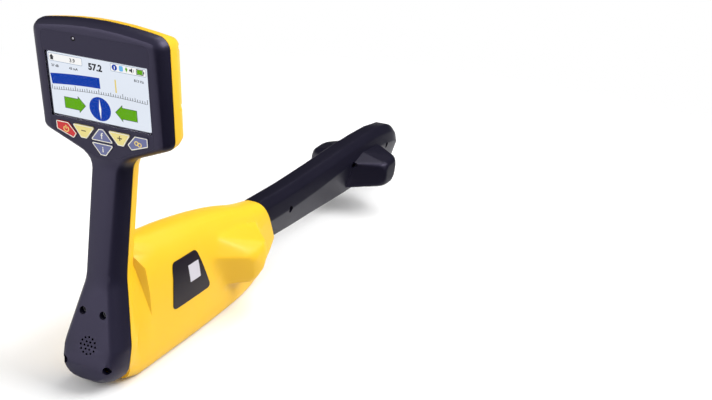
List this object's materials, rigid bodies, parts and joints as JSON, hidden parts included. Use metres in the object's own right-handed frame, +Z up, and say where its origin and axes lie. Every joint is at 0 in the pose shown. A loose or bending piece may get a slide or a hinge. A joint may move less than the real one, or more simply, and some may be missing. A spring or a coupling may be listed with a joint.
{
  "type": "cable locator receiver",
  "caption": "Hand-held buried-cable locator lying on its flat body: leaning display head with keys, grip, speaker heel, yellow body with side pods and a winged antenna blade.",
  "frame": {"origin": "on the floor under the centre of the part's box, with the part lying on its flat underside", "axes": "+Z up, -Y the way the display faces, +Y along the antenna blade to its foot, +X to the right of someone facing the display"},
  "size_m": [0.1258, 0.688, 0.3198],
  "materials": {
    "black_shell": "satin",
    "blade_shell": "satin",
    "yellow_shell": "satin",
    "seal": "matte",
    "panel": "satin",
    "window": "clear",
    "sensor": "gloss",
    "display": "satin",
    "key_mat": "matte",
    "board": "satin",
    "steel": "brushed",
    "red_key": "satin",
    "cream_key": "satin",
    "violet_key": "satin",
    "cone": "matte",
    "bay": "matte",
    "contact": "satin",
    "battery": "wrapped",
    "cable": "matte",
    "bracket": "matte",
    "ferrite": "matte",
    "winding": "satin",
    "label": "satin"
  },
  "bodies": {
    "casing": {"front_shell": "black_shell", "main_housing": "yellow_shell", "antenna_case_right": "blade_shell", "antenna_case_left": "blade_shell", "shell_seal": "seal", "collar_seal": "seal", "front_panel": "panel", "display_window": "window", "light_sensor": "sensor", "display_gasket": "seal", "display_module": "display", "key_mat": "key_mat", "main_board": "board", "board_screws": "steel", "speaker_mesh": "cone", "speaker_gasket": "seal", "speaker_frame": "steel", "speaker_cone": "cone", "heel_screws": "steel", "head_screws": "steel", "battery_bay": "bay", "battery_contacts": "contact", "battery_pack": "battery", "door_pin": "steel", "power_cable": "cable", "antenna_cable": "cable", "coil_bracket": "bracket", "upper_rod": "ferrite", "upper_coil": "winding", "antenna_board": "board", "lower_rod": "ferrite", "lower_coils": "winding", "axial_rod": "ferrite", "axial_coil": "winding", "case_screws": "steel", "side_label": "label"},
    "door": {"battery_door": "yellow_shell", "door_seal": "seal", "door_screw": "steel"},
    "power_key_body": {"power_key": "red_key"},
    "minus_key_body": {"minus_key": "cream_key"},
    "function_key_body": {"function_key": "violet_key"},
    "info_key_body": {"info_key": "violet_key"},
    "plus_key_body": {"plus_key": "cream_key"},
    "link_key_body": {"link_key": "violet_key"}
  },
  "joints": [
    {"name": "power_key_press", "type": "slide", "parent": "casing", "child": "power_key_body", "axis": [0, 0.9893, 0.1461], "range_m": [0, 0.001], "stiffness_N_per_m": 1500},
    {"name": "minus_key_press", "type": "slide", "parent": "casing", "child": "minus_key_body", "axis": [0, 0.9893, 0.1461], "range_m": [0, 0.001], "stiffness_N_per_m": 1500},
    {"name": "function_key_press", "type": "slide", "parent": "casing", "child": "function_key_body", "axis": [0, 0.9893, 0.1461], "range_m": [0, 0.001], "stiffness_N_per_m": 1500},
    {"name": "info_key_press", "type": "slide", "parent": "casing", "child": "info_key_body", "axis": [0, 0.9893, 0.1461], "range_m": [0, 0.001], "stiffness_N_per_m": 1500},
    {"name": "plus_key_press", "type": "slide", "parent": "casing", "child": "plus_key_body", "axis": [0, 0.9893, 0.1461], "range_m": [0, 0.001], "stiffness_N_per_m": 1500},
    {"name": "link_key_press", "type": "slide", "parent": "casing", "child": "link_key_body", "axis": [0, 0.9893, 0.1461], "range_m": [0, 0.001], "stiffness_N_per_m": 1500},
    {"name": "door_hinge", "type": "hinge", "parent": "casing", "child": "door", "pos_m": [0, -0.15203, 0.0033], "axis": [1, 0, 0], "range_deg": [0, 100]}
  ]
}
